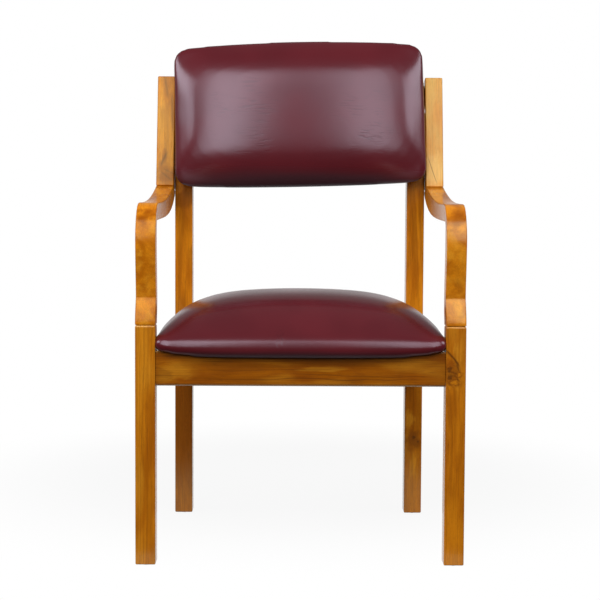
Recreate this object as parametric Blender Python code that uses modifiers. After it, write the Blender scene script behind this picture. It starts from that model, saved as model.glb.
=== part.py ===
"""Wooden armchair with a padded seat and a padded raked back.

Metres, +Z up. The chair faces -Y, and the origin is on the floor at the middle of its overall box.
Places are worked out in a frame whose y is zero on the front faces of the front legs.
"""

from math import copysign, cos, pi, radians, sin, tan

import bmesh
import bpy
from mathutils import Matrix, Vector

# Fits
GAP = 0.0003  # between pieces that touch
PAD_CLEAR = 0.0009  # between a skin and the foam under it
MERGE = 0.00001
FLAT = radians(0.5)  # faces that turn less than this become one

# Side frames
WIDTH = 0.570  # over the arms
STOCK = 0.035  # plank that legs, arms and posts are sawn from, across the chair
EASE = 0.0022  # rounding of the timber's edges
LEG_DEPTH = 0.035
LEG_TOP = 0.419  # joint of front leg and arm
REAR_LEG_DEPTH = 0.038
REAR_LEG_SET = 0.440  # front face of the rear legs
LAP_RISE = 0.1495  # of the rear legs' tops above the posts' feet

# Arm, in side view
COVE_RISE = 0.046  # from the leg joint to the waist
WAIST_BACK = 0.016
SWELL_RISE = 0.095  # from the waist to the bulge
BULGE_BACK = 0.006
SHOULDER_RISE = 0.069  # from the bulge to the top of the arm
SHOULDER_RUN = 0.058
ARM_BAND = 0.031  # depth of the level part
UPRIGHT_BAND = 0.029  # depth of the front upright
INNER_RADIUS = 0.012
HEEL_RUN = 0.017  # round corner under the post
HEEL_DROP = 0.0166
HEEL_SLOPE = radians(23)

# Pulls of the arm's curves, as shares of the stretch they shape
ROUND_PULL = 0.55
COVE_PULL = 0.30
COVE_LEAN = 0.02  # at the foot of the cove
COVE_SWEEP = 0.17  # at its top, in front
COVE_SWEEP_BEHIND = 0.08
SWELL_PULL = 0.32
SWELL_LEAN = 0.01
TOP_PULL = 0.43
TOP_PULL_REAR = 0.37
TOP_RISE = 0.0025
UNDER_PULL = 0.46
UNDER_PULL_REAR = 0.29
UNDER_RISE = 0.012
HEEL_FLAT = 0.15  # straight start of the heel's round

# Raked posts
POST_AHEAD = 0.031  # from the post's foot to the rear leg's front face
POST_FOOT_RISE = 0.0335  # above the top of the arm's shoulder
POST_RAKE = radians(12)
POST_DEPTH = 0.040
POST_OVER = 0.0114  # top of the post above the back rail

# Seat frame
RAIL_DROP = 0.0445  # top of the rails below the joint of leg and arm
RAIL_HEIGHT = 0.061
RAIL_THICK = 0.022
SIDE_RAIL_THICK = 0.024
FRONT_RAIL_INSET = 0.005  # behind the legs' front faces
REAR_RAIL_INSET = 0.002
RAIL_LIP = 0.005  # rounding of the front rail's lower edge
TENON_THICK = 0.011
TENON_SHOULDER = 0.008  # above and below a tenon
FRONT_TENON = 0.020
SIDE_TENON_FRONT = 0.012
SIDE_TENON_REAR = 0.020
REAR_TENON = 0.012
BLOCK_LEG = 0.072
BLOCK_HEIGHT = 0.026
BLOCK_TIP = 0.010

# Back rail, in the rake of the posts
BACK_SEAT = 0.014  # back pad's bearing plane, behind the posts' front faces
BACK_RAIL_CLEAR = 0.0075  # above the rear legs' tops
BACK_RAIL_HEIGHT = 0.045
BACK_TENON = 0.015

# Pads
COVER_THICK = 0.0012
SIDE_SWELL = 0.001  # of a pad's side beyond its plan
SIDE_HIGH = 0.66  # heights on a pad's side, as shares of its edge
SIDE_LOW = 0.28
TURN_IN = 0.011  # where a skin turns under its board
SKIN_LIFT = 0.0005  # of the tucked skin
TUCK = 0.018
BOARD_THICK = 0.012
BOARD_IN = 0.012  # edge of a board inside the skin
BOARD_CORNER = 0.045
SEAT_SIDE_CLEAR = 0.0015
SEAT_LIP = 0.008  # front edge, ahead of the front legs
SEAT_REAR_CLEAR = 0.004
SEAT_SHOULDER = 0.005  # rim of the crown inside the seat's plan
SEAT_EDGE = 0.040  # rim of the crown above the rails
SEAT_CROWN = 0.059
SEAT_FULLNESS = 3.6
SEAT_CROWDING = 0.65  # below 1, the seat's rows crowd towards its rim
SEAT_BOW = 0.006  # of the front edge
SEAT_DROOP = 0.014  # of the front edge, ahead of the front rail
SEAT_LIP_TURN = 0.004  # how far ahead the drooping edge turns under
BACK_LOW = 0.0025  # lower edge along the rake, from the posts' feet
BACK_HEIGHT = 0.283
BACK_SIDE_CLEAR = 0.002
BACK_SHOULDER = 0.012
BACK_EDGE = 0.044
BACK_CROWN = 0.022
BACK_FULLNESS = 4
BACK_CROWDING = 0.85
BACK_BOWS = (0.003, 0.005)  # of the lower and the upper edge
PANEL_THICK = 0.004

# Dowels, bolts, screws and glides
DOWEL_RADIUS = 0.004
DOWEL_SPREAD = 0.016
ARM_DOWEL_SINK = 0.025
POST_DOWEL_SINK = 0.015
BOLT_RADIUS = 0.003
BOLT_HEAD_RADIUS = 0.006
BOLT_HEAD = 0.004
BOLT_SINK = 0.005  # head below the rear leg's inner face
BOLT_BITE = 0.022  # into the post
BOLT_DROPS = (0.022, 0.060)  # below the top of the rear leg
SCREW_RADIUS = 0.0022
SCREW_HEAD_RADIUS = 0.0045
SCREW_HEAD = 0.0028
SCREW_BITE = 0.008  # into a board
SEAT_SCREW_SIDE = 0.021
SEAT_SCREW_FRONT = 0.020
SEAT_SCREW_REAR = 0.044
BACK_SCREW_IN = 0.0075
BACK_SCREW_RAIL_SPREAD = 0.240
BACK_SCREW_LEG_DROP = 0.040
GLIDE_RADIUS = 0.009
GLIDE_THICK = 0.0018
GLIDE_NAIL_RADIUS = 0.0014
GLIDE_NAIL = 0.014

# Fineness
CURVE_STEPS = 8
EASE_STEPS = 2
ROUND_STEPS = 12
SHARP = radians(30)
PAD_CELLS = (6, 5)

# Places worked out from the sizes
WAIST_HEIGHT = LEG_TOP + COVE_RISE
BULGE_HEIGHT = WAIST_HEIGHT + SWELL_RISE
ARM_HEIGHT = BULGE_HEIGHT + SHOULDER_RISE
POST_FOOT_HEIGHT = ARM_HEIGHT + POST_FOOT_RISE
REAR_LEG_TOP = POST_FOOT_HEIGHT + LAP_RISE
INNER = WIDTH / 2 - STOCK  # plane where posts, arms and front legs face inwards
PLANK_MIDDLE = WIDTH / 2 - STOCK / 2
REAR_LEG_OUTER = INNER - GAP
REAR_LEG_INNER = REAR_LEG_OUTER - STOCK
REAR_LEG_BACK = REAR_LEG_SET + REAR_LEG_DEPTH
LEG_FOOT = GLIDE_THICK + GAP
POST_FOOT = REAR_LEG_SET - POST_AHEAD
RAIL_TOP = LEG_TOP - RAIL_DROP
RAIL_BOTTOM = RAIL_TOP - RAIL_HEIGHT
FRONT_RAIL_BACK = FRONT_RAIL_INSET + RAIL_THICK
REAR_RAIL_FRONT = REAR_LEG_SET + REAR_RAIL_INSET
SIDE_RAIL_INNER = INNER - GAP - SIDE_RAIL_THICK
SEAT_REAR = REAR_LEG_SET - SEAT_REAR_CLEAR
SEAT_UNDER = RAIL_TOP + GAP
BOARD_LIFT = SKIN_LIFT + COVER_THICK + PAD_CLEAR
BACK_UNDER = -(BACK_SEAT - 2 * GAP - PANEL_THICK)  # rear face of the back skin, in the back frame
LEG_TOP_BEHIND = (LAP_RISE + (BACK_SEAT + GAP + RAIL_THICK) * sin(POST_RAKE)) / cos(POST_RAKE)
BACK_RAIL_FROM = LEG_TOP_BEHIND + BACK_RAIL_CLEAR  # in the back frame
POST_LENGTH = BACK_RAIL_FROM + BACK_RAIL_HEIGHT + POST_OVER
REAR_MOST = POST_FOOT + POST_LENGTH * sin(POST_RAKE) + POST_DEPTH * cos(POST_RAKE)
MIDDLE = (REAR_MOST - SEAT_LIP) / 2

SIDE_VIEW = Matrix(((0, 0, 1, 0), (1, 0, 0, 0), (0, 1, 0, 0), (0, 0, 0, 1)))
PLAN_VIEW = Matrix.Identity(4)
SIDES = (("left", -1), ("right", 1))


def clear_scene():
    for obj in list(bpy.data.objects):
        bpy.data.objects.remove(obj, do_unlink=True)


def new_collection(name):
    collection = bpy.data.collections.new(name)
    bpy.context.scene.collection.children.link(collection)
    return collection


def new_frame(name, parent=None, location=(0, 0, 0), rotation=(0, 0, 0)):
    frame = bpy.data.objects.new(name, None)
    frame.parent = parent
    frame.location = location
    frame.rotation_euler = rotation
    PARTS.objects.link(frame)
    return frame


def new_material(name, colour, roughness, metallic=0.0):
    material = bpy.data.materials.new(name)
    material.use_nodes = True
    shader = material.node_tree.nodes["Principled BSDF"]
    shader.inputs["Base Color"].default_value = (*colour, 1)
    shader.inputs["Roughness"].default_value = roughness
    shader.inputs["Metallic"].default_value = metallic
    return material


def to_object(name, bm, frame, collection):
    mesh = bpy.data.meshes.new(name)
    bm.to_mesh(mesh)
    bm.free()
    obj = bpy.data.objects.new(name, mesh)
    obj.parent = frame
    collection.objects.link(obj)
    return obj


def new_part(name, bm, frame, material):
    part = to_object(name, bm, frame, PARTS)
    part.data.materials.append(material)
    return part


def new_cutter(name, bm, frame):
    cutter = to_object(name, bm, frame, CUTTERS)
    cutter.hide_render = True
    cutter.display_type = "WIRE"
    return cutter


def combine(part, other, operation):
    modifier = part.modifiers.new(other.name, "BOOLEAN")
    modifier.operation = operation
    modifier.object = other


def cut(part, cutter):
    combine(part, cutter, "DIFFERENCE")


def box(low, high):
    low = Vector(low)
    high = Vector(high)
    bm = bmesh.new()
    matrix = Matrix.Translation((low + high) / 2) @ Matrix.Diagonal((*(high - low), 1))
    bmesh.ops.create_cube(bm, size=1, matrix=matrix)
    return bm


def grown(low, high, by):
    """The box from low to high with every side moved out, for the hole that a piece goes into."""
    return box([value - by for value in low], [value + by for value in high])


def ease(bm, width, chosen=lambda edge: True):
    """Rounds the sharp edges that pass the test."""
    edges = [edge for edge in bm.edges if edge.calc_face_angle(0) > SHARP and chosen(edge)]
    bmesh.ops.bevel(
        bm,
        geom=edges,
        offset=width,
        offset_type="OFFSET",
        segments=EASE_STEPS,
        profile=0.5,
        affect="EDGES",
        clamp_overlap=True,
        material=-1,
    )
    return bm


def knot(y, z, before=None, after=None):
    """A point of an outline, with the handles before and after it where the line curves."""
    at = Vector((y, z))
    return at, before and Vector(before), after and Vector(after)


def outline_solid(knots, thick, view):
    """A closed outline of straight and curved stretches, given a thickness about its own plane."""
    curve = bpy.data.curves.new("outline", "CURVE")
    curve.dimensions = "2D"
    curve.fill_mode = "BOTH"
    curve.extrude = thick / 2
    curve.resolution_u = CURVE_STEPS
    spline = curve.splines.new("BEZIER")
    spline.bezier_points.add(len(knots) - 1)
    spline.use_cyclic_u = True
    for index, point in enumerate(spline.bezier_points):
        at, before, after = knots[index]
        previous = knots[index - 1][0]
        following = knots[(index + 1) % len(knots)][0]
        point.handle_left_type = "FREE"
        point.handle_right_type = "FREE"
        point.co = (*at, 0)
        point.handle_left = (*(at + (before or (previous - at) / 3)), 0)
        point.handle_right = (*(at + (after or (following - at) / 3)), 0)
    holder = bpy.data.objects.new("outline", curve)
    CUTTERS.objects.link(holder)
    graph = bpy.context.evaluated_depsgraph_get()
    mesh = bpy.data.meshes.new_from_object(holder.evaluated_get(graph))
    bpy.data.objects.remove(holder)
    bm = bmesh.new()
    bm.from_mesh(mesh)
    bpy.data.meshes.remove(mesh)
    bmesh.ops.remove_doubles(bm, verts=bm.verts, dist=MERGE)
    bmesh.ops.dissolve_limit(bm, angle_limit=FLAT, verts=bm.verts, edges=bm.edges)
    bmesh.ops.transform(bm, matrix=view, verts=bm.verts)
    bmesh.ops.recalc_face_normals(bm, faces=bm.faces)
    return bm


def turned(profile):
    """A profile of (radius, height) points, with both ends on the axis, swept round z."""
    bm = bmesh.new()
    verts = [bm.verts.new((radius, 0, height)) for radius, height in profile]
    edges = [bm.edges.new(pair) for pair in zip(verts, verts[1:])]
    bmesh.ops.spin(
        bm,
        geom=verts + edges,
        axis=(0, 0, 1),
        cent=(0, 0, 0),
        angle=2 * pi,
        steps=ROUND_STEPS,
        use_merge=True,
    )
    bmesh.ops.remove_doubles(bm, verts=bm.verts, dist=MERGE)
    bmesh.ops.recalc_face_normals(bm, faces=bm.faces)
    return bm


def rod(radius, low, high):
    return turned([(0, high), (radius, high), (radius, low), (0, low)])


def headed(radius, length, head_radius, head, over=0):
    """A headed pin along +z with its head's outer face at z = 0, or that far out for a hole's mouth."""
    return turned(
        [
            (0, length),
            (radius, length),
            (radius, head),
            (head_radius, head),
            (head_radius, -over),
            (0, -over),
        ]
    )


def place(obj, location, rotation=(0, 0, 0)):
    obj.location = location
    obj.rotation_euler = rotation
    return obj


def fasten(name, sizes, frame, location, rotation, through, mouth):
    """A headed fastener and its hole in each piece that it goes through; mouth is the counterbore's depth."""
    radius, length, head_radius, head = sizes
    fastener = new_part(name, headed(*sizes), frame, STEEL)
    place(fastener, location, rotation)
    hole = headed(radius + GAP, length + GAP, head_radius + GAP, head + GAP, mouth)
    cutter = place(new_cutter(name + "_hole", hole, frame), location, rotation)
    for piece in through:
        cut(piece, cutter)


def dowel(name, low, high, frame, location, rotation, pieces):
    """A plain dowel between two pieces, with its holes."""
    place(new_part(name, rod(DOWEL_RADIUS, low, high), frame, DOWEL_WOOD), location, rotation)
    hole = rod(DOWEL_RADIUS + GAP, low - GAP, high + GAP)
    cutter = place(new_cutter(name + "_hole", hole, frame), location, rotation)
    for piece in pieces:
        cut(piece, cutter)


def tenon(name, rail, low, high, root, frame, host):
    """A tenon from low to high, joined to the rail over the root, and its mortise in the host."""
    root_low = [value + min(reach, 0) for value, reach in zip(low, root)]
    root_high = [value + max(reach, 0) for value, reach in zip(high, root)]
    combine(rail, new_cutter(name, box(root_low, root_high), frame), "UNION")
    cut(host, new_cutter(name + "_mortise", grown(low, high, GAP), frame))


def front_leg(name, side):
    low = (side * PLANK_MIDDLE - STOCK / 2, 0, LEG_FOOT)
    high = (side * PLANK_MIDDLE + STOCK / 2, LEG_DEPTH, LEG_TOP)
    return new_part(name, ease(box(low, high), EASE), CHAIR, TEAK)


def rake_plane(z):
    """How far back the back pad's bearing plane lies at height z."""
    return POST_FOOT + BACK_SEAT / cos(POST_RAKE) + (z - POST_FOOT_HEIGHT) * tan(POST_RAKE)


def rear_leg(name, side):
    """A straight leg whose front face is cut to the rake where it meets the back pad."""
    turn = POST_FOOT_HEIGHT + (REAR_LEG_SET - rake_plane(POST_FOOT_HEIGHT)) / tan(POST_RAKE)
    knots = [
        knot(REAR_LEG_SET, LEG_FOOT),
        knot(REAR_LEG_SET, turn),
        knot(rake_plane(REAR_LEG_TOP), REAR_LEG_TOP),
        knot(REAR_LEG_BACK, REAR_LEG_TOP),
        knot(REAR_LEG_BACK, LEG_FOOT),
    ]
    leg = new_part(name, ease(outline_solid(knots, STOCK, SIDE_VIEW), EASE), CHAIR, TEAK)
    return place(leg, (side * (REAR_LEG_INNER + STOCK / 2), 0, 0))


def arm_knots():
    """The arm in side view, from the front of the leg joint up, over the shoulder and back to the post."""
    foot = LEG_TOP + GAP
    crease = Vector((POST_FOOT, POST_FOOT_HEIGHT))
    along = Vector((cos(POST_RAKE), -sin(POST_RAKE)))
    down = Vector((-sin(POST_RAKE), -cos(POST_RAKE)))
    seat_end = crease + POST_DEPTH * along
    heel = seat_end + Vector((-HEEL_RUN, -HEEL_DROP))
    heel_way = Vector((cos(HEEL_SLOPE), sin(HEEL_SLOPE)))
    shoulder = BULGE_BACK + SHOULDER_RUN
    run = POST_FOOT - shoulder
    cove = WAIST_HEIGHT - foot
    under = ARM_HEIGHT - ARM_BAND
    back = BULGE_BACK + UPRIGHT_BAND
    waist_pull = (-SWELL_LEAN * SWELL_RISE, SWELL_PULL * SWELL_RISE)
    under_pull = (UNDER_PULL * run, UNDER_RISE * run)
    flat_end = seat_end + HEEL_FLAT * HEEL_DROP * down
    return [
        knot(0, foot, after=(COVE_LEAN * cove, COVE_PULL * cove)),
        knot(WAIST_BACK, WAIST_HEIGHT, (-COVE_SWEEP * cove, -COVE_PULL * cove), waist_pull),
        knot(BULGE_BACK, BULGE_HEIGHT, (0, -SWELL_PULL * SWELL_RISE), (0, ROUND_PULL * SHOULDER_RISE)),
        knot(shoulder, ARM_HEIGHT, (-ROUND_PULL * SHOULDER_RUN, 0), (TOP_PULL * run, TOP_RISE * run)),
        knot(*crease, before=-TOP_PULL_REAR * run * Vector((cos(POST_RAKE), sin(POST_RAKE)))),
        knot(*seat_end),
        knot(*flat_end, after=ROUND_PULL * HEEL_DROP * down),
        knot(*heel, ROUND_PULL * HEEL_RUN * heel_way, -UNDER_PULL_REAR * run * heel_way),
        knot(back + INNER_RADIUS, under, under_pull, (-ROUND_PULL * INNER_RADIUS, 0)),
        knot(back, under - INNER_RADIUS, before=(0, ROUND_PULL * INNER_RADIUS)),
        knot(back, BULGE_HEIGHT, after=(0, -SWELL_PULL * SWELL_RISE)),
        knot(WAIST_BACK + UPRIGHT_BAND, WAIST_HEIGHT, waist_pull, (0, -COVE_PULL * cove)),
        knot(LEG_DEPTH, foot, before=(COVE_SWEEP_BEHIND * cove, COVE_PULL * cove)),
    ]


def arm(name, side):
    part = new_part(name, ease(outline_solid(arm_knots(), STOCK, SIDE_VIEW), EASE), CHAIR, TEAK)
    return place(part, (side * PLANK_MIDDLE, 0, 0))


def back_post(name, side):
    low = (side * PLANK_MIDDLE - STOCK / 2, GAP, -POST_DEPTH)
    high = (side * PLANK_MIDDLE + STOCK / 2, POST_LENGTH, 0)
    return new_part(name, ease(box(low, high), EASE), BACK, TEAK)


def rail_tenon_span():
    return RAIL_BOTTOM + TENON_SHOULDER, RAIL_TOP - TENON_SHOULDER


def front_rail(legs):
    """Between the front legs, with its lower front edge rounded more than the rest."""
    half = INNER - GAP
    low = (-half, FRONT_RAIL_INSET, RAIL_BOTTOM)
    high = (half, FRONT_RAIL_BACK, RAIL_TOP)

    def on_lower_front(edge):
        return all(v.co.y < FRONT_RAIL_INSET + MERGE and v.co.z < RAIL_BOTTOM + MERGE for v in edge.verts)

    def along_rail(edge):
        first, second = edge.verts
        return abs(first.co.x - second.co.x) > half

    bm = ease(box(low, high), RAIL_LIP, on_lower_front)
    rail = new_part("front_rail", ease(bm, EASE, along_rail), CHAIR, TEAK)
    bottom, top = rail_tenon_span()
    middle = FRONT_RAIL_INSET + RAIL_THICK / 2
    for word, side in SIDES:
        reach = sorted((side * half, side * (half + FRONT_TENON)))
        tenon(
            f"front_rail_tenon_{word}",
            rail,
            (reach[0], middle - TENON_THICK / 2, bottom),
            (reach[1], middle + TENON_THICK / 2, top),
            (-side * FRONT_TENON, 0, 0),
            CHAIR,
            legs[word],
        )
    return rail


def rear_rail(legs):
    half = REAR_LEG_INNER - GAP
    low = (-half, REAR_RAIL_FRONT, RAIL_BOTTOM)
    high = (half, REAR_RAIL_FRONT + RAIL_THICK, RAIL_TOP)
    rail = new_part("rear_rail", ease(box(low, high), EASE), CHAIR, TEAK)
    bottom, top = rail_tenon_span()
    middle = REAR_RAIL_FRONT + RAIL_THICK / 2
    for word, side in SIDES:
        reach = sorted((side * half, side * (half + REAR_TENON)))
        tenon(
            f"rear_rail_tenon_{word}",
            rail,
            (reach[0], middle - TENON_THICK / 2, bottom),
            (reach[1], middle + TENON_THICK / 2, top),
            (-side * REAR_TENON, 0, 0),
            CHAIR,
            legs[word],
        )
    return rail


def side_rail(word, side, rail_in_front, leg_behind):
    """Along the seat's side, tenoned into the front rail and into the rear leg."""
    start = FRONT_RAIL_BACK + GAP
    end = REAR_LEG_SET - GAP
    across = sorted((side * SIDE_RAIL_INNER, side * (SIDE_RAIL_INNER + SIDE_RAIL_THICK)))
    low = (across[0], start, RAIL_BOTTOM)
    high = (across[1], end, RAIL_TOP)
    rail = new_part(f"side_rail_{word}", ease(box(low, high), EASE), CHAIR, TEAK)
    bottom, top = rail_tenon_span()
    middle = sum(across) / 2
    near = middle - TENON_THICK / 2
    far = middle + TENON_THICK / 2
    tenon(
        f"side_rail_tenon_front_{word}",
        rail,
        (near, start - SIDE_TENON_FRONT, bottom),
        (far, start, top),
        (0, SIDE_TENON_FRONT, 0),
        CHAIR,
        rail_in_front,
    )
    tenon(
        f"side_rail_tenon_rear_{word}",
        rail,
        (near, end, bottom),
        (far, end + SIDE_TENON_REAR, top),
        (0, -SIDE_TENON_REAR, 0),
        CHAIR,
        leg_behind,
    )


def back_rail(posts):
    """Between the posts, behind the top of the back pad."""
    half = INNER - GAP
    front = -BACK_SEAT - GAP
    low = (-half, BACK_RAIL_FROM, front - RAIL_THICK)
    high = (half, BACK_RAIL_FROM + BACK_RAIL_HEIGHT, front)
    rail = new_part("back_rail", ease(box(low, high), EASE), BACK, TEAK)
    middle = front - RAIL_THICK / 2
    for word, side in SIDES:
        reach = sorted((side * half, side * (half + BACK_TENON)))
        tenon(
            f"back_rail_tenon_{word}",
            rail,
            (reach[0], BACK_RAIL_FROM + TENON_SHOULDER, middle - TENON_THICK / 2),
            (reach[1], BACK_RAIL_FROM + BACK_RAIL_HEIGHT - TENON_SHOULDER, middle + TENON_THICK / 2),
            (-side * BACK_TENON, 0, 0),
            BACK,
            posts[word],
        )
    return rail


def corner_block(name, outline):
    knots = [knot(x, y) for x, y in outline]
    block = new_part(name, outline_solid(knots, BLOCK_HEIGHT, PLAN_VIEW), CHAIR, PALE_WOOD)
    return place(block, (0, 0, RAIL_TOP - BLOCK_HEIGHT / 2))


def front_block(word, side):
    """A triangle with blunt tips, in the corner of the front rail and a side rail."""
    x = SIDE_RAIL_INNER - GAP
    y = FRONT_RAIL_BACK + GAP
    outline = [
        (x, y),
        (x, y + BLOCK_LEG),
        (x - BLOCK_TIP, y + BLOCK_LEG),
        (x - BLOCK_LEG, y + BLOCK_TIP),
        (x - BLOCK_LEG, y),
    ]
    return corner_block(f"corner_block_front_{word}", [(side * a, b) for a, b in outline])


def rear_block(word, side):
    """The same at the rear, notched round the leg that stands inside the side rail."""
    x = SIDE_RAIL_INNER - GAP
    y = REAR_RAIL_FRONT - GAP
    leg_x = REAR_LEG_INNER - GAP
    leg_y = REAR_LEG_SET - GAP
    outline = [
        (x, leg_y),
        (leg_x, leg_y),
        (leg_x, y),
        (x - BLOCK_LEG, y),
        (x - BLOCK_LEG, y - BLOCK_TIP),
        (x - BLOCK_TIP, y - BLOCK_LEG),
        (x, y - BLOCK_LEG),
    ]
    return corner_block(f"corner_block_rear_{word}", [(side * a, b) for a, b in outline])


def glide(name, x, y, leg):
    profile = [
        (0, GLIDE_THICK + GLIDE_NAIL),
        (GLIDE_NAIL_RADIUS, GLIDE_THICK + GLIDE_NAIL - GLIDE_NAIL_RADIUS),
        (GLIDE_NAIL_RADIUS, GLIDE_THICK),
        (GLIDE_RADIUS, GLIDE_THICK),
        (GLIDE_RADIUS, GLIDE_THICK / 2),
        (GLIDE_RADIUS - GLIDE_THICK / 2, 0),
        (0, 0),
    ]
    place(new_part(name, turned(profile), CHAIR, DARK_PLASTIC), (x, y, 0))
    hole = rod(GLIDE_NAIL_RADIUS + GAP, -GLIDE_THICK, GLIDE_THICK + GLIDE_NAIL + GAP)
    cut(leg, place(new_cutter(name + "_hole", hole, CHAIR), (x, y, 0)))


class Pad:
    """A padded form over a board: a crowned top, and rings that run down its sides and turn under it.

    Each ring is a distance inside the pad's plan and a height above its underside.
    """

    def __init__(
        self,
        half_width,
        start,
        end,
        shoulder,
        edge,
        crown,
        fullness,
        crowding,
        bows,
        droop=0,
        turn=0,
    ):
        self.half_width = half_width
        self.middle = (start + end) / 2
        self.half_length = (end - start) / 2
        self.rings = [
            (shoulder, edge),
            (-SIDE_SWELL, SIDE_HIGH * edge),
            (SIDE_SWELL, SIDE_LOW * edge),
            (TURN_IN / 2, 0),
            (TURN_IN, SKIN_LIFT),
            (TURN_IN + TUCK, SKIN_LIFT),
        ]
        self.crown = crown
        self.fullness = fullness
        self.crowding = crowding
        self.bows = bows
        self.droop = droop
        self.turn = turn

    def point(self, a, b, ring, inside):
        """The place of a, b in the plan (-1 to 1) on a ring, moved inwards for what lies in the skin."""
        a = copysign(abs(a) ** self.crowding, a)
        b = copysign(abs(b) ** self.crowding, b)
        inset, height = self.rings[ring]
        height += inside if ring >= 2 else -inside
        if ring == 0:
            height += self.crown * (1 - abs(a) ** self.fullness) * (1 - abs(b) ** self.fullness)
        x = a * (self.half_width - inset - inside)
        y = self.middle + b * (self.half_length - inset - inside)
        start = max(0, -b) ** 4
        end = max(0, b) ** 4
        across = 1 - a * a
        y += across * (self.bows[1] * end - self.bows[0] * start)
        if not inside:
            dip = self.droop * across * across * start
            if ring in (2, 3):
                height -= dip
            if ring in (3, 4):
                y -= self.turn * start
            if ring == 4:
                height += dip / 8
        return Vector((x, y, height))

    def skin(self, inside=0):
        """The cage of the form: a grid whose rim is drawn out ring by ring, then set in its real place."""
        bm = bmesh.new()
        bmesh.ops.create_grid(bm, x_segments=PAD_CELLS[0], y_segments=PAD_CELLS[1], size=1)
        rim = [edge for edge in bm.edges if edge.is_boundary]
        for _ in self.rings[1:]:
            drawn = bmesh.ops.extrude_edge_only(bm, edges=rim)["geom"]
            points = [item for item in drawn if isinstance(item, bmesh.types.BMVert)]
            bmesh.ops.translate(bm, vec=(0, 0, 1), verts=points)
            rim = [edge for edge in drawn if isinstance(edge, bmesh.types.BMEdge) and edge.is_boundary]
        for vert in bm.verts:
            vert.co = self.point(vert.co.x, vert.co.y, round(vert.co.z), inside)
        bmesh.ops.recalc_face_normals(bm, faces=bm.faces)
        crown = max(bm.faces, key=lambda face: face.calc_center_median().z)
        if crown.normal.z < 0:
            bmesh.ops.reverse_faces(bm, faces=bm.faces)
        return bm, rim


def smooth_form(part):
    modifier = part.modifiers.new("smooth", "SUBSURF")
    modifier.levels = 1
    modifier.render_levels = 1


def pad_cover(name, pad, frame, location):
    bm, _ = pad.skin()
    cover = new_part(name, bm, frame, LEATHERETTE)
    smooth_form(cover)
    shell = cover.modifiers.new("thickness", "SOLIDIFY")
    shell.thickness = COVER_THICK
    shell.offset = -1
    cover.data.shade_smooth()
    return place(cover, location)


def pad_foam(name, pad, frame, location, board_cutter):
    bm, rim = pad.skin(COVER_THICK + PAD_CLEAR)
    bmesh.ops.contextual_create(bm, geom=rim)
    bmesh.ops.recalc_face_normals(bm, faces=bm.faces)
    foam = place(new_part(name, bm, frame, FOAM), location)
    smooth_form(foam)
    cut(foam, board_cutter)
    foam.data.shade_smooth()
    return foam


def rounded_board(low, high, corner):
    def upright(edge):
        first, second = edge.verts
        return abs(first.co.z - second.co.z) > MERGE

    return ease(box(low, high), corner, upright)


def pad_board(name, low, high, frame):
    """A board with round corners, and the cutter that takes its room out of the foam."""
    board = new_part(name, rounded_board(low, high, BOARD_CORNER), frame, PLYWOOD)
    room_low = (low[0] - GAP, low[1] - GAP, low[2] - 2 * BOARD_THICK)
    room_high = [value + GAP for value in high]
    room = new_cutter(name + "_room", rounded_board(room_low, room_high, BOARD_CORNER), frame)
    return board, room


def seat(frame):
    """Board, foam and skin of the seat; returns the board and the skin."""
    half_width = INNER - SEAT_SIDE_CLEAR
    front = -SEAT_LIP + SEAT_BOW
    pad = Pad(
        half_width,
        front,
        SEAT_REAR,
        SEAT_SHOULDER,
        SEAT_EDGE,
        SEAT_CROWN,
        SEAT_FULLNESS,
        SEAT_CROWDING,
        (SEAT_BOW, 0),
        SEAT_DROOP,
        SEAT_LIP_TURN,
    )
    low = (BOARD_IN - half_width, front + BOARD_IN, SEAT_UNDER + BOARD_LIFT)
    high = (half_width - BOARD_IN, SEAT_REAR - BOARD_IN, low[2] + BOARD_THICK)
    board, room = pad_board("seat_board", low, high, frame)
    at = (0, 0, SEAT_UNDER)
    pad_foam("seat_foam", pad, frame, at, room)
    return board, pad_cover("seat_cover", pad, frame, at)


def back(frame):
    """Board, foam, skin and rear panel of the back; returns the pieces that the screws go through."""
    half_width = INNER - BACK_SIDE_CLEAR
    top = BACK_LOW + BACK_HEIGHT
    pad = Pad(
        half_width,
        BACK_LOW,
        top,
        BACK_SHOULDER,
        BACK_EDGE,
        BACK_CROWN,
        BACK_FULLNESS,
        BACK_CROWDING,
        BACK_BOWS,
    )
    low = (BOARD_IN - half_width, BACK_LOW + BOARD_IN, BACK_UNDER + BOARD_LIFT)
    high = (half_width - BOARD_IN, top - BOARD_IN, low[2] + BOARD_THICK)
    board, room = pad_board("back_board", low, high, frame)
    at = (0, 0, BACK_UNDER)
    pad_foam("back_foam", pad, frame, at, room)
    cover = pad_cover("back_cover", pad, frame, at)
    panel_low = (low[0], low[1], BACK_UNDER - GAP - PANEL_THICK)
    panel_high = (high[0], high[1], BACK_UNDER - GAP)
    panel = rounded_board(panel_low, panel_high, BOARD_CORNER)
    return new_part("back_rear_panel", panel, frame, LEATHERETTE), cover, board


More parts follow.
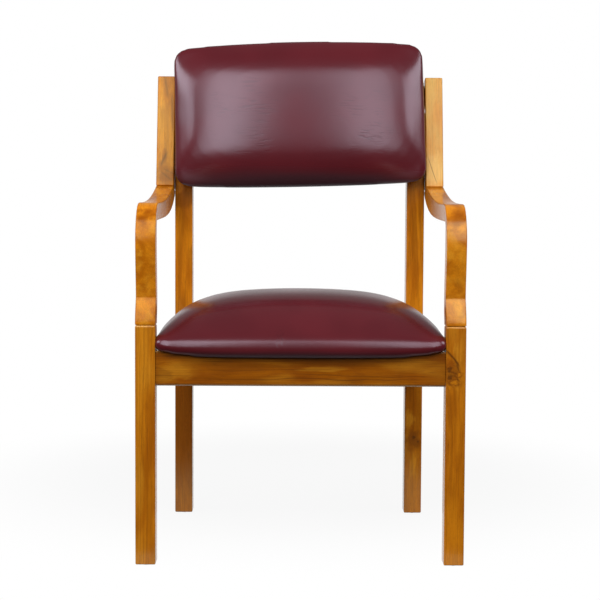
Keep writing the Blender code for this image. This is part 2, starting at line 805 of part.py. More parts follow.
def side_joints(word, side, leg, arm_part, post, rear):
    """Dowels of the arm's two joints and bolts of the lap on one side of the chair."""
    for row, step in (("inner", -1), ("outer", 1)):
        x = side * (PLANK_MIDDLE + step * DOWEL_SPREAD / 2)
        dowel(
            f"arm_dowel_{word}_{row}",
            -ARM_DOWEL_SINK,
            ARM_DOWEL_SINK,
            CHAIR,
            (x, (LEG_DEPTH + WAIST_BACK / 3) / 2, LEG_TOP),
            (0, 0, 0),
            (leg, arm_part),
        )
        dowel(
            f"post_dowel_{word}_{row}",
            -POST_DOWEL_SINK,
            2 * POST_DOWEL_SINK,
            BACK,
            (x, 0, -POST_DEPTH / 2),
            (-pi / 2, 0, 0),
            (arm_part, post),
        )
    bolt = (BOLT_RADIUS, STOCK - BOLT_SINK + GAP + BOLT_BITE, BOLT_HEAD_RADIUS, BOLT_HEAD)
    for row, drop in zip(("upper", "lower"), BOLT_DROPS):
        z = REAR_LEG_TOP - drop
        post_back = rake_plane(z) + (POST_DEPTH - BACK_SEAT) / cos(POST_RAKE)
        y = (max(REAR_LEG_SET, rake_plane(z)) + min(REAR_LEG_BACK, post_back)) / 2
        fasten(
            f"lap_bolt_{word}_{row}",
            bolt,
            CHAIR,
            (side * (REAR_LEG_INNER + BOLT_SINK), y, z),
            (0, side * pi / 2, 0),
            (rear, post),
            2 * BOLT_SINK,
        )


def seat_screw(name, x, y, block, padding):
    """A screw up through a corner block and the tucked skin into the board."""
    start = RAIL_TOP - BLOCK_HEIGHT
    length = SEAT_UNDER + BOARD_LIFT + SCREW_BITE - start
    sizes = (SCREW_RADIUS, length, SCREW_HEAD_RADIUS, SCREW_HEAD)
    fasten(name, sizes, CHAIR, (x, y, start), (0, 0, 0), (block, *padding), SCREW_HEAD)


def back_screw(name, x, along, host, padding):
    """A screw through the host, the rear panel and the tucked skin into the board."""
    start = -BACK_SEAT - GAP - RAIL_THICK
    length = BACK_UNDER + BOARD_LIFT + SCREW_BITE - start
    sizes = (SCREW_RADIUS, length, SCREW_HEAD_RADIUS, SCREW_HEAD)
    fasten(name, sizes, BACK, (x, along, start), (0, 0, 0), (host, *padding), REAR_LEG_DEPTH)


def chair():
    front_legs = {word: front_leg(f"front_leg_{word}", side) for word, side in SIDES}
    rear_legs = {word: rear_leg(f"rear_leg_{word}", side) for word, side in SIDES}
    arms = {word: arm(f"arm_{word}", side) for word, side in SIDES}
    posts = {word: back_post(f"back_post_{word}", side) for word, side in SIDES}
    rail = front_rail(front_legs)
    rear_rail(rear_legs)
    top_rail = back_rail(posts)
    seat_padding = seat(CHAIR)
    back_padding = back(BACK)
    for word, side in SIDES:
        side_rail(word, side, rail, rear_legs[word])
        side_joints(word, side, front_legs[word], arms[word], posts[word], rear_legs[word])
        screw_x = side * (SIDE_RAIL_INNER - SEAT_SCREW_SIDE)
        block = front_block(word, side)
        screw_y = FRONT_RAIL_BACK + SEAT_SCREW_FRONT
        seat_screw(f"seat_screw_front_{word}", screw_x, screw_y, block, seat_padding)
        block = rear_block(word, side)
        screw_y = REAR_RAIL_FRONT - SEAT_SCREW_REAR
        seat_screw(f"seat_screw_rear_{word}", screw_x, screw_y, block, seat_padding)
        leg_x = side * (REAR_LEG_INNER + BACK_SCREW_IN)
        along = (REAR_LEG_TOP - BACK_SCREW_LEG_DROP - POST_FOOT_HEIGHT) / cos(POST_RAKE)
        back_screw(f"back_screw_leg_{word}", leg_x, along, rear_legs[word], back_padding)
        along = BACK_RAIL_FROM + BACK_RAIL_HEIGHT / 2
        rail_x = side * BACK_SCREW_RAIL_SPREAD / 2
        back_screw(f"back_screw_rail_{word}", rail_x, along, top_rail, back_padding)
        glide(f"glide_front_{word}", side * PLANK_MIDDLE, LEG_DEPTH / 2, front_legs[word])
        rear_x = side * (REAR_LEG_INNER + STOCK / 2)
        glide(f"glide_rear_{word}", rear_x, REAR_LEG_SET + REAR_LEG_DEPTH / 2, rear_legs[word])


clear_scene()
PARTS = new_collection("wooden_armchair")
CUTTERS = new_collection("cutters")
TEAK = new_material("teak", (0.48, 0.21, 0.045), 0.28)
PALE_WOOD = new_material("pale_wood", (0.55, 0.36, 0.17), 0.6)
DOWEL_WOOD = new_material("dowel_wood", (0.62, 0.45, 0.25), 0.6)
PLYWOOD = new_material("plywood", (0.50, 0.34, 0.18), 0.65)
FOAM = new_material("foam", (0.75, 0.66, 0.42), 0.9)
LEATHERETTE = new_material("leatherette", (0.11, 0.012, 0.018), 0.32)
STEEL = new_material("zinc_plated_steel", (0.62, 0.62, 0.60), 0.35, 1.0)
DARK_PLASTIC = new_material("dark_plastic", (0.03, 0.03, 0.03), 0.5)
CHAIR = new_frame("chair_frame", location=(0, -MIDDLE, 0))
BACK = new_frame("back_frame", CHAIR, (0, POST_FOOT, POST_FOOT_HEIGHT), (pi / 2 - POST_RAKE, 0, 0))
chair()
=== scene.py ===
"""Looks of the wooden armchair: lacquered teak, maroon leatherette pads, fastenings, studio and camera.

Metres, +Z up. The chair faces -Y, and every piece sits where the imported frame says.
"""

from math import copysign, cos, pi, radians, sin

import bmesh
import bpy
from mathutils import Euler, Matrix, Vector


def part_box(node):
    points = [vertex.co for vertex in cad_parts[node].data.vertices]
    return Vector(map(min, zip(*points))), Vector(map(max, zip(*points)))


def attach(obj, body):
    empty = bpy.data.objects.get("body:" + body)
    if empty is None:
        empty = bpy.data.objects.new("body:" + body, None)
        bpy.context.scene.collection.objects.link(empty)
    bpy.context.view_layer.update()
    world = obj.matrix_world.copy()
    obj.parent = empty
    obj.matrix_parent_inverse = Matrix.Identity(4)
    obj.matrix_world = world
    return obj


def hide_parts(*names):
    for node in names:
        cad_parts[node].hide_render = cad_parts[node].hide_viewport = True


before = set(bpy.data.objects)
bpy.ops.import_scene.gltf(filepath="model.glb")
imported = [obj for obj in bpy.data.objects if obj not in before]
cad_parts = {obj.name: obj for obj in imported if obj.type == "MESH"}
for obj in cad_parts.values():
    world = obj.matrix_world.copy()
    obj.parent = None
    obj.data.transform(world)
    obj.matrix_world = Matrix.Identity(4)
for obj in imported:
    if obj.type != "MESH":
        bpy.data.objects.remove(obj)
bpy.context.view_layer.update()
SCENE = bpy.context.scene

# Places of the two pads, as in the part
MIDDLE = 0.243401  # from the front legs' faces to the middle of the chair
RAKE = radians(12)
SEAT_UNDER = 0.3748  # height of the plane that the seat rests on
POST_FOOT = (0, 0.409 - MIDDLE, 0.6625)  # lower end of the posts' front faces
SEAT_PLACE = Matrix.Translation((0, -MIDDLE, SEAT_UNDER))
BACK_PLACE = Matrix.Translation(POST_FOOT) @ Matrix.Rotation(pi / 2 - RAKE, 4, "X")
BACK_UNDER = -0.0094  # rear of the back pad, from the posts' front faces
BACK_ASIDE = -0.001
BACK_TURN = radians(1.45)  # the pad hangs slightly askew between its posts

# Form of the pads
PAD_HALF_WIDTH = 0.2485
BACK_LOW = 0.0040  # lower and upper edge of the back pad, along the posts
BACK_HIGH = 0.2840
BACK_SAG = 0.0022  # how far its soft lower edge hangs below that
FRONT_SPREAD = 5  # powers by which the shapes of the front and rear edge fade out inwards
REAR_SPREAD = 4
SIDE_RINGS = range(1, 5)  # rings that make up the sides
DROOP_SHARES = (0, 0.1, 0.6, 1, 0.95, 0, 0)  # of the front's droop, ring by ring
REAR_SHARES = (0, 0, 0.4, 1, 0.9, 0, 0)  # of the rear's drop, ring by ring
BOARD_IN = 0.0117  # from the edge of a pad in to the room of its board
BOARD_CORNER = 0.044
SEAT_ROOM = (0.0097, 0.4243)  # front and rear of that room in the seat
BACK_ROOM = (BACK_LOW + BOARD_IN, BACK_HIGH - BOARD_IN)
ROOM_LOW = -0.02  # heights of both rooms, from the plane that the pad rests on
ROOM_HIGH = 0.0149

# Padding
FORM_LEVELS = 3
VOXEL = 0.005
SIM_FRAMES = 20
PRESSURE = 4
HELD_BELOW = 0.003  # the cloth is held under this height
SWELL_CAP = 0.005
MOVE_SMOOTHINGS = 30
SMOOTHINGS = 5
PAD_SHARP = radians(60)

# Timber
MERGE = 0.00001
FLAT = radians(0.4)  # facets that turn less than this become one face
SMOOTH_ANGLE = radians(50)
EASE = 0.0022  # rounding of the timber's edges
EASE_SLACK = 0.0001
LEG_TOP = 0.419
ARM_FOOT = 0.4193
LEG_END = (LEG_TOP, -1, 2.0, 0)  # height, way into the piece, stretch of the rounding, reach
ARM_END = (ARM_FOOT, 1, 0.4, 0.00025)
LACQUER_ROUGHNESS = 0.13
LACQUER_TINT = (1, 0.88, 0.44, 1)
COAT_IOR = 1.42

# Fastenings
METAL_SHARP = radians(30)
HEAD_FLATNESS = 0.00005
SOCKET_RADIUS = 0.0029
SOCKET_DEPTH = 0.0026
SOCKET_ABOVE = 0.0022  # how far its cutter stands out of the head
RECESS_REACH = 0.0030
RECESS_HALF_WIDTH = 0.00055
RECESS_DEPTH = 0.0018
RECESS_ABOVE = 0.0004
RECESS_TAPER = 0.55


# Node trees

VALUE = "NodeSocketFloat"
VECTOR = "NodeSocketVector"
MIX_FIRST = 6  # colour sockets of a mix node
MIX_SECOND = 7
MIX_RESULT = 2


def set_inputs(tree, made, inputs):
    """Links each input that is given as a socket, and sets any other."""
    for key, value in inputs.items():
        if isinstance(value, bpy.types.NodeSocket):
            tree.links.new(value, made.inputs[key])
        else:
            made.inputs[key].default_value = value


def node(tree, kind, inputs, **settings):
    made = tree.nodes.new(kind)
    for key, value in settings.items():
        setattr(made, key, value)
    set_inputs(tree, made, inputs)
    return made


def maths(tree, operation, first, second=0.0, third=0.0, clamp=False):
    inputs = {0: first, 1: second, 2: third}
    return node(tree, "ShaderNodeMath", inputs, operation=operation, use_clamp=clamp).outputs[0]


def vectors(tree, operation, first, second=(0, 0, 0)):
    made = node(tree, "ShaderNodeVectorMath", {0: first, 1: second}, operation=operation)
    return made.outputs["Value" if operation in ("LENGTH", "DISTANCE", "DOT_PRODUCT") else "Vector"]


def noise(tree, point, scales=None, detail=2.0, roughness=0.5):
    """Noise at a point, which the scales multiply first."""
    if scales is not None:
        point = vectors(tree, "MULTIPLY", point, scales)
    inputs = {"Vector": point, "Scale": 1.0, "Detail": detail, "Roughness": roughness}
    return node(tree, "ShaderNodeTexNoise", inputs).outputs["Fac"]


def step(tree, value, low, high, start=0.0, end=1.0):
    """A smooth step of value from low to high, put out from start to end."""
    inputs = {0: value, 1: low, 2: high, 3: start, 4: end}
    return node(tree, "ShaderNodeMapRange", inputs, interpolation_type="SMOOTHSTEP").outputs[0]


def tint(tree, factor, first, second, blend="MIX"):
    """A mix of two colours, each given as a socket or as three values."""
    inputs = {0: factor}
    for key, colour in ((MIX_FIRST, first), (MIX_SECOND, second)):
        inputs[key] = (*colour, 1) if isinstance(colour, tuple) else colour
    return node(tree, "ShaderNodeMix", inputs, data_type="RGBA", blend_type=blend).outputs[MIX_RESULT]


def stained(tree, colour, shade, mask, strength):
    """The colour with some of a shade where the mask says."""
    return tint(tree, maths(tree, "MULTIPLY", mask, strength), colour, shade)


def new_group(name, inputs, outputs):
    """A shader node group with named sockets; returns it with the inputs given to it and its output node."""
    group = bpy.data.node_groups.new(name, "ShaderNodeTree")
    for socket, kind in inputs:
        group.interface.new_socket(socket, in_out="INPUT", socket_type=kind)
    for socket in outputs:
        group.interface.new_socket(socket, in_out="OUTPUT", socket_type=VALUE)
    return group, group.nodes.new("NodeGroupInput").outputs, group.nodes.new("NodeGroupOutput")


def placed_group(tree, group, inputs):
    return node(tree, "ShaderNodeGroup", inputs, node_tree=group).outputs


def timber_figure_group():
    """Growth rings, streaks, fibres, pores and clouds of sawn timber whose grain runs along z."""
    group, given, out = new_group(
        "timber_figure",
        [("Vector", VECTOR), ("Spacing", VALUE), ("Wander", VALUE), ("Push", VALUE), ("Clouding", VECTOR)],
        ["Ring", "Streak", "Fibre", "Pore", "Cloud", "Glow"],
    )
    point = given["Vector"]
    slow = noise(group, point, (24, 24, 2.6), detail=2.5)
    drift = maths(group, "MULTIPLY", maths(group, "SUBTRACT", slow, 0.5), given["Wander"])
    pushed = maths(group, "ADD", drift, given["Push"])
    radius = vectors(group, "LENGTH", vectors(group, "MULTIPLY", point, (1, 1, 0.035)))
    radius = maths(group, "ADD", radius, pushed)
    inputs = {"W": radius, "Scale": 85.0, "Detail": 2.0}
    uneven = node(group, "ShaderNodeTexNoise", inputs, noise_dimensions="1D").outputs["Fac"]
    crowded = maths(group, "MULTIPLY_ADD", uneven, 0.011, radius)
    turns = maths(group, "FRACT", maths(group, "DIVIDE", crowded, given["Spacing"]))
    late = maths(group, "MULTIPLY", step(group, turns, 0.2, 0.9), step(group, turns, 0.88, 1.0, 1.0, 0.0))
    faint = noise(group, point, (70, 70, 5))
    ring = maths(group, "MULTIPLY", late, step(group, faint, 0.32, 0.62, 0.15, 1.0))
    aside = node(group, "ShaderNodeCombineXYZ", {0: pushed, 1: pushed}).outputs[0]
    bent = vectors(group, "ADD", point, aside)
    lines = noise(group, bent, (340, 340, 3.5))
    few = noise(group, bent, (38, 38, 6), detail=1)
    streak = maths(group, "MULTIPLY", step(group, lines, 0.56, 0.68), step(group, few, 0.48, 0.66))
    fine = noise(group, bent, (700, 700, 11), detail=3, roughness=0.6)
    pore = step(group, noise(group, bent, (2100, 2100, 75), detail=1), 0.6, 0.74)
    clouding = vectors(group, "MULTIPLY", bent, given["Clouding"])
    broad = noise(group, clouding, detail=3, roughness=0.55)
    glow = noise(group, vectors(group, "ADD", clouding, (7.3, 1.9, 4.1)))
    links = {"Ring": ring, "Streak": streak, "Fibre": fine, "Pore": pore, "Cloud": broad, "Glow": glow}
    set_inputs(group, out, links)
    return group


def knot_group():
    """A knot: how far it pushes the rings aside, and its dark heart."""
    group, given, out = new_group(
        "knot",
        [("Vector", VECTOR), ("Centre", VECTOR), ("Radius", VALUE), ("Strength", VALUE)],
        ["Push", "Heart"],
    )
    away = vectors(group, "SUBTRACT", given["Vector"], given["Centre"])
    ragged = noise(group, given["Vector"], (200, 200, 200), detail=3)
    far = maths(group, "DIVIDE", vectors(group, "LENGTH", away), given["Radius"])
    far = maths(group, "MULTIPLY_ADD", ragged, 1.2, maths(group, "SUBTRACT", far, 0.6))
    bell = maths(group, "EXPONENT", maths(group, "MULTIPLY", maths(group, "MULTIPLY", far, far), -1.0))
    most = maths(group, "MULTIPLY", given["Radius"], given["Strength"])
    push = maths(group, "MULTIPLY", bell, most)
    set_inputs(group, out, {"Push": push, "Heart": step(group, far, 0.1, 0.62, 1.0, 0.0)})
    return group


def patch_group():
    """A soft-edged patch, with three radii of its own: of other colour or painted shade in timber, of creases or
    painted shade on leatherette.
    """
    group, given, out = new_group(
        "figure_patch",
        [("Vector", VECTOR), ("Centre", VECTOR), ("Radii", VECTOR), ("Ragged", VALUE)],
        ["Patch"],
    )
    away = vectors(group, "SUBTRACT", given["Vector"], given["Centre"])
    share = vectors(group, "DIVIDE", away, given["Radii"])
    seed = vectors(group, "MULTIPLY", given["Centre"], (97, 61, 83))
    ragged = noise(group, vectors(group, "ADD", share, seed), (1.7, 1.7, 1.7), detail=3)
    ragged = maths(group, "SUBTRACT", ragged, 0.5)
    far = maths(group, "MULTIPLY_ADD", ragged, given["Ragged"], vectors(group, "LENGTH", share))
    set_inputs(group, out, {"Patch": step(group, far, 0.35, 1.05, 1.0, 0.0)})
    return group


def dark_vein_group():
    """A thin dark line where a surface cuts a plane in the timber, fading out away from its middle."""
    group, given, out = new_group(
        "dark_vein",
        [("Vector", VECTOR), ("Centre", VECTOR), ("Across", VECTOR), ("Width", VALUE), ("Reach", VALUE)],
        ["Vein"],
    )
    away = vectors(group, "SUBTRACT", given["Vector"], given["Centre"])
    bend = maths(group, "SUBTRACT", noise(group, given["Vector"], (34, 34, 9), detail=1.5), 0.5)
    side = vectors(group, "DOT_PRODUCT", away, given["Across"])
    side = maths(group, "ABSOLUTE", maths(group, "MULTIPLY_ADD", bend, 0.012, side))
    line = maths(group, "SUBTRACT", 1.0, maths(group, "DIVIDE", side, given["Width"]), clamp=True)
    reach = maths(group, "DIVIDE", vectors(group, "LENGTH", away), given["Reach"])
    fade = step(group, reach, 0.45, 1.0, 1.0, 0.0)
    set_inputs(group, out, {"Vein": maths(group, "MULTIPLY", maths(group, "POWER", line, 1.1), fade)})
    return group


def leatherette_grain_group():
    """Pebbled grain, short creases and slow unevenness of coated fabric; creases run along x."""
    group, given, out = new_group("leatherette_grain", [("Vector", VECTOR)], ["Pebble", "Crease", "Cloud"])
    point = given["Vector"]
    wobble = noise(group, point, (300, 300, 300), detail=1)
    bent = vectors(group, "ADD", vectors(group, "MULTIPLY", point, (820, 820, 820)), wobble)
    inputs = {"Vector": bent, "Scale": 1.0, "Smoothness": 0.6}
    pebble = node(group, "ShaderNodeTexVoronoi", inputs, feature="SMOOTH_F1").outputs["Distance"]
    dashes = noise(group, point, (36, 330, 330))
    sparse = noise(group, point, (17, 30, 30), detail=1)
    crease = maths(group, "MULTIPLY", step(group, dashes, 0.5, 0.64), step(group, sparse, 0.36, 0.58))
    broad = noise(group, point, (11, 11, 11), detail=1)
    set_inputs(group, out, {"Pebble": pebble, "Crease": crease, "Cloud": broad})
    return group


TIMBER_FIGURE = timber_figure_group()
KNOT = knot_group()
FIGURE_PATCH = patch_group()
DARK_VEIN = dark_vein_group()
LEATHERETTE_GRAIN = leatherette_grain_group()
RAGGED = 1.5  # edge of a patch in timber or of a wrinkled zone
EVEN = 0.25  # edge of a zone of painted shade on the pads


# Materials

# Turns that lay the figure's z along the grain
ALONG_X = (0, -pi / 2, 0)
ALONG_Y = (pi / 2, 0, 0)
ALONG_Z = (0, 0, 0)
ALONG_RAKE = (RAKE, 0, 0)
ARM_GRAIN = (radians(68), 0, 0)

# Shades of teak
PALE = (0.68, 0.38, 0.10)
STRAW = (0.54, 0.272, 0.050)
GOLD = (0.64, 0.265, 0.016)
HONEY = (0.54, 0.180, 0.0055)
AMBER = (0.385, 0.108, 0.0028)
CHESTNUT = (0.27, 0.066, 0.0024)
SHOULDER = (0.24, 0.056, 0.0011)
RUSSET = (0.19, 0.050, 0.0034)
UMBER = (0.085, 0.024, 0.004)

# Weight of the lacquer over the lightest and the darkest clouds, and how dense the clouds lie
FULL_COAT = (0.12, 0.24)
DULL_COAT = (0.03, 0.09)
LONG_CLOUDS = (30, 30, 7)
SHORT_CLOUDS = (46, 46, 22)

# Shades of leatherette, and the middles and radii of its zones
MAROON = (0.096, 0.0096, 0.0140)
MAROON_DEEP = (0.081, 0.0076, 0.0113)
# painted shade in the creases of the wrinkled zones
MAROON_CREASE_SHADE = (0.045, 0.0040, 0.0062)
# painted shade, for the zones under the seat's lip and along the back pad's lower edge
MAROON_SHADE = (0.020, 0.0022, 0.0032)
LEATHERETTE_TINT = (0.88, 0.84, 1, 1)
BACK_WRINKLES = [((-0.118, 0.17, 0.800), (0.085, 0.2, 0.090)), ((0.128, 0.17, 0.795), (0.080, 0.2, 0.085))]
SEAT_WRINKLES = [((x, -0.245, 0.396), (0.009, 0.06, 0.022)) for x in (-0.036, 0.002, 0.110)]
# Zones of painted shade, also rougher: under the seat's front lip and along the back pad's lower edge
SEAT_LIP_SHADE = [((0, -0.245, 0.363), (0.40, 0.06, 0.015))]
BACK_FOOT_SHADE = [((0, 0.17, 0.664), (0.40, 0.09, 0.046))]
UPRIGHT_CREASES = (0, -pi / 2, 0)


def new_material(name):
    material = bpy.data.materials.new(name)
    material.use_nodes = True
    tree = material.node_tree
    return material, tree, tree.nodes["Principled BSDF"]


def object_point(tree, turn=(0, 0, 0), move=(0, 0, 0)):
    coordinates = tree.nodes.new("ShaderNodeTexCoord").outputs["Object"]
    inputs = {"Vector": coordinates, "Rotation": turn, "Location": move}
    return node(tree, "ShaderNodeMapping", inputs).outputs["Vector"]


def bumped(tree, height, strength, distance):
    inputs = {"Height": height, "Strength": strength, "Distance": distance}
    return node(tree, "ShaderNodeBump", inputs).outputs["Normal"]


def teak(
    name,
    turn,
    centre,
    pith,
    spacing,
    wander=0.016,
    tone=0.0,
    contrast=0.4,
    streaks=0.35,
    clouds=LONG_CLOUDS,
    shades=(HONEY, AMBER),
    knots=(),
    veins=(),
    patches=(),
    coat=FULL_COAT,
    specular=0.58,
):
    """Lacquered teak. The pith is where the rings' middle lies from the piece's own, across the grain.

    Knots, veins and patches are marks at places on the chair, as the tables of marks list them.
    """
    material, tree, shader = new_material(name)
    turned = Euler(turn).to_matrix()
    move = Vector(pith) - turned @ Vector(centre)
    point = object_point(tree, turn, move)

    def mark(group, place, inputs):
        return placed_group(tree, group, {"Vector": point, "Centre": turned @ Vector(place) + move, **inputs})

    push = 0.0
    hearts = []
    for place, radius, strength in knots:
        knot = mark(KNOT, place, {"Radius": radius, "Strength": strength})
        hearts.append(knot["Heart"])
        push = maths(tree, "ADD", push, knot["Push"])
    inputs = {"Vector": point, "Spacing": spacing, "Wander": wander, "Push": push, "Clouding": clouds}
    figure = placed_group(tree, TIMBER_FIGURE, inputs)
    colour = tint(tree, step(tree, figure["Cloud"], 0.34, 0.66), *shades)
    colour = tint(tree, step(tree, figure["Glow"], 0.48, 0.72, 0.0, 0.55), colour, GOLD)
    for place, radii, shade, strength in patches:
        mask = mark(FIGURE_PATCH, place, {"Radii": radii, "Ragged": RAGGED})["Patch"]
        colour = stained(tree, colour, shade, mask, strength)
    colour = stained(tree, colour, RUSSET, figure["Ring"], contrast)
    colour = stained(tree, colour, UMBER, figure["Streak"], streaks)
    level = maths(tree, "MULTIPLY", step(tree, figure["Fibre"], 0.3, 0.7, 0.87, 1.09), 1.0 + tone)
    grey = node(tree, "ShaderNodeCombineColor", {0: level, 1: level, 2: level}).outputs[0]
    colour = tint(tree, 1.0, colour, grey, "MULTIPLY")
    colour = stained(tree, colour, UMBER, figure["Pore"], 0.4)
    for heart in hearts:
        colour = stained(tree, colour, UMBER, heart, 0.75)
    for place, across, width, reach, strength in veins:
        across = (turned @ Vector(across)).normalized()
        vein = mark(DARK_VEIN, place, {"Across": across, "Width": width, "Reach": reach})["Vein"]
        colour = stained(tree, colour, UMBER, vein, strength)
    height = maths(tree, "MULTIPLY_ADD", figure["Pore"], -0.6, figure["Fibre"])
    inputs = {
        "Base Color": colour,
        "Roughness": maths(tree, "MULTIPLY_ADD", figure["Fibre"], 0.1, 0.15),
        "Normal": bumped(tree, height, 0.3, 0.0002),
        "Specular IOR Level": specular,
        "Specular Tint": LACQUER_TINT,
        "Coat Weight": step(tree, figure["Cloud"], 0.2, 0.75, *coat),
        "Coat Roughness": LACQUER_ROUGHNESS,
        "Coat IOR": COAT_IOR,
    }
    set_inputs(tree, shader, inputs)
    return material


def bare_wood(name, turn, light, dark, spacing):
    """Unfinished timber of the pieces that nobody sees from above."""
    material, tree, shader = new_material(name)
    point = object_point(tree, turn, (0.06, 0.04, 0))
    inputs = {"Vector": point, "Spacing": spacing, "Wander": 0.012, "Push": 0.0, "Clouding": LONG_CLOUDS}
    figure = placed_group(tree, TIMBER_FIGURE, inputs)
    colour = stained(tree, light, dark, figure["Ring"], 0.6)
    colour = tint(tree, step(tree, figure["Fibre"], 0.35, 0.75, 0.0, 0.45), colour, dark)
    inputs = {
        "Base Color": colour,
        "Roughness": maths(tree, "MULTIPLY_ADD", figure["Fibre"], 0.2, 0.6),
        "Normal": bumped(tree, figure["Fibre"], 0.5, 0.0004),
        "Specular IOR Level": 0.3,
    }
    set_inputs(tree, shader, inputs)
    return material


def leatherette(name, wrinkled=(), shaded=(), turn=(0, 0, 0)):
    """Maroon leatherette, creased in its wrinkled zones, where painted shade darkens the creases, and darkened
    by painted shade and made rougher in its shaded ones.

    The turn is of its grain, and so of the creases, which run along x without one.
    """
    material, tree, shader = new_material(name)
    point = object_point(tree)
    grain = placed_group(tree, LEATHERETTE_GRAIN, {"Vector": object_point(tree, turn)})

    def covered(zones, ragged):
        mask = 0.0
        for centre, radii in zones:
            inputs = {"Vector": point, "Centre": centre, "Radii": radii, "Ragged": ragged}
            mask = maths(tree, "MAXIMUM", mask, placed_group(tree, FIGURE_PATCH, inputs)["Patch"])
        return mask

    crease = maths(tree, "MULTIPLY", grain["Crease"], covered(wrinkled, RAGGED))
    painted_shade = covered(shaded, EVEN)
    colour = tint(tree, step(tree, grain["Cloud"], 0.3, 0.7), MAROON, MAROON_DEEP)
    # painted shade along the creases, which the bump also dents
    colour = stained(tree, colour, MAROON_CREASE_SHADE, crease, 0.45)
    # painted shade in the shaded zones
    colour = stained(tree, colour, MAROON_SHADE, painted_shade, 0.9)
    rough = maths(tree, "MULTIPLY_ADD", grain["Cloud"], 0.06, 0.20)
    height = maths(tree, "MULTIPLY_ADD", grain["Pebble"], 0.5, maths(tree, "MULTIPLY", crease, -2.2))
    inputs = {
        "Base Color": colour,
        "Roughness": maths(tree, "MULTIPLY_ADD", painted_shade, 0.35, rough),
        "Normal": bumped(tree, height, 0.17, 0.0004),
        "Specular IOR Level": 0.58,
        "Specular Tint": LEATHERETTE_TINT,
    }
    set_inputs(tree, shader, inputs)
    return material


def zinc_plate():
    material, tree, shader = new_material("zinc_plate")
    spots = noise(tree, object_point(tree), (900, 900, 900), detail=3)
    inputs = {
        "Base Color": tint(tree, step(tree, spots, 0.35, 0.7), (0.62, 0.62, 0.58), (0.42, 0.41, 0.37)),
        "Roughness": step(tree, spots, 0.3, 0.7, 0.28, 0.5),
        "Metallic": 1.0,
    }
    set_inputs(tree, shader, inputs)
    return material


def moulded_plastic():
    material, tree, shader = new_material("moulded_plastic")
    point = object_point(tree)
    fine = noise(tree, point, (1600, 1600, 1600))
    scuffs = noise(tree, point, (220, 220, 220), detail=3)
    inputs = {
        "Base Color": tint(tree, step(tree, scuffs, 0.5, 0.8), (0.022, 0.022, 0.023), (0.07, 0.068, 0.064)),
        "Roughness": step(tree, scuffs, 0.3, 0.8, 0.42, 0.7),
        "Normal": bumped(tree, fine, 0.3, 0.0001),
    }
    set_inputs(tree, shader, inputs)
    return material


# Pieces


def new_object(name, bm):
    """An object made of the bmesh, which is freed."""
    mesh = bpy.data.meshes.new(name)
    bm.to_mesh(mesh)
    bm.free()
    made = bpy.data.objects.new(name, mesh)
    SCENE.collection.objects.link(made)
    return made


def evaluated_mesh(obj):
    graph = bpy.context.evaluated_depsgraph_get()
    return bpy.data.meshes.new_from_object(obj.evaluated_get(graph))


def baked(obj):
    """Makes the modifiers' result the object's own mesh."""
    mesh = evaluated_mesh(obj)
    obj.modifiers.clear()
    obj.data = mesh


def cut_away(obj, cutter):
    """Cuts the form of a bmesh out of an object, after the object's other modifiers."""
    tool = new_object("cutter", cutter)
    cut = obj.modifiers.new("cut", "BOOLEAN")
    cut.object = tool
    cut.operation = "DIFFERENCE"
    baked(obj)
    bpy.data.objects.remove(tool)


def new_piece(name, bm, material, slot, *nodes):
    """A finished piece of the chair, in place of the CAD nodes that it stands for."""
    piece = new_object(name, bm)
    piece.data.materials.append(material)
    piece.data.shade_smooth()
    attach(piece, "root")
    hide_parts(*nodes)
    return piece


def dressed(node_name, material, slot, end=None):
    """A smooth copy of a sawn piece, with its flat faces whole and its eased edges rounded in shading.

    An end (height, way into the piece, stretch, reach) draws the rounding of that end out or in along z.
    """
    bm = bmesh.new()
    bm.from_mesh(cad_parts[node_name].data)
    bmesh.ops.remove_doubles(bm, verts=bm.verts, dist=MERGE)
    if end:
        height, inward, stretch, reach = end
        for vert in bm.verts:
            deep = (vert.co.z - height) * inward
            if deep < EASE + EASE_SLACK:
                vert.co.z = height + inward * (deep * stretch - reach)
    bmesh.ops.dissolve_limit(bm, angle_limit=FLAT, verts=bm.verts, edges=bm.edges)
    piece = new_piece(node_name + "_finished", bm, material, slot, node_name)
    piece.data.set_sharp_from_angle(angle=SMOOTH_ANGLE)
    weighted = piece.modifiers.new("flat_faces", "WEIGHTED_NORMAL")
    weighted.keep_sharp = True
    return piece


# Timber

# Marks in the teak, placed one by one
LEG_FACE = -0.2434  # front faces of the front legs, rear legs and front rail
REAR_LEG_FACE = 0.1966
RAIL_FACE = -0.2384
DEEP = 0.03  # how far most patches reach into the timber

# Knots: place, radius, how hard it pushes the rings aside
BURL_KNOTS = [
    ((0.2570, LEG_FACE, 0.3456), 0.0100, 1.3),
    ((0.2578, LEG_FACE, 0.3307), 0.0110, 1.3),
]
REAR_LEG_KNOTS = [
    ((0.2330, REAR_LEG_FACE, 0.1560), 0.009, 1.2),
    ((0.2420, REAR_LEG_FACE, 0.1480), 0.006, 1.0),
]

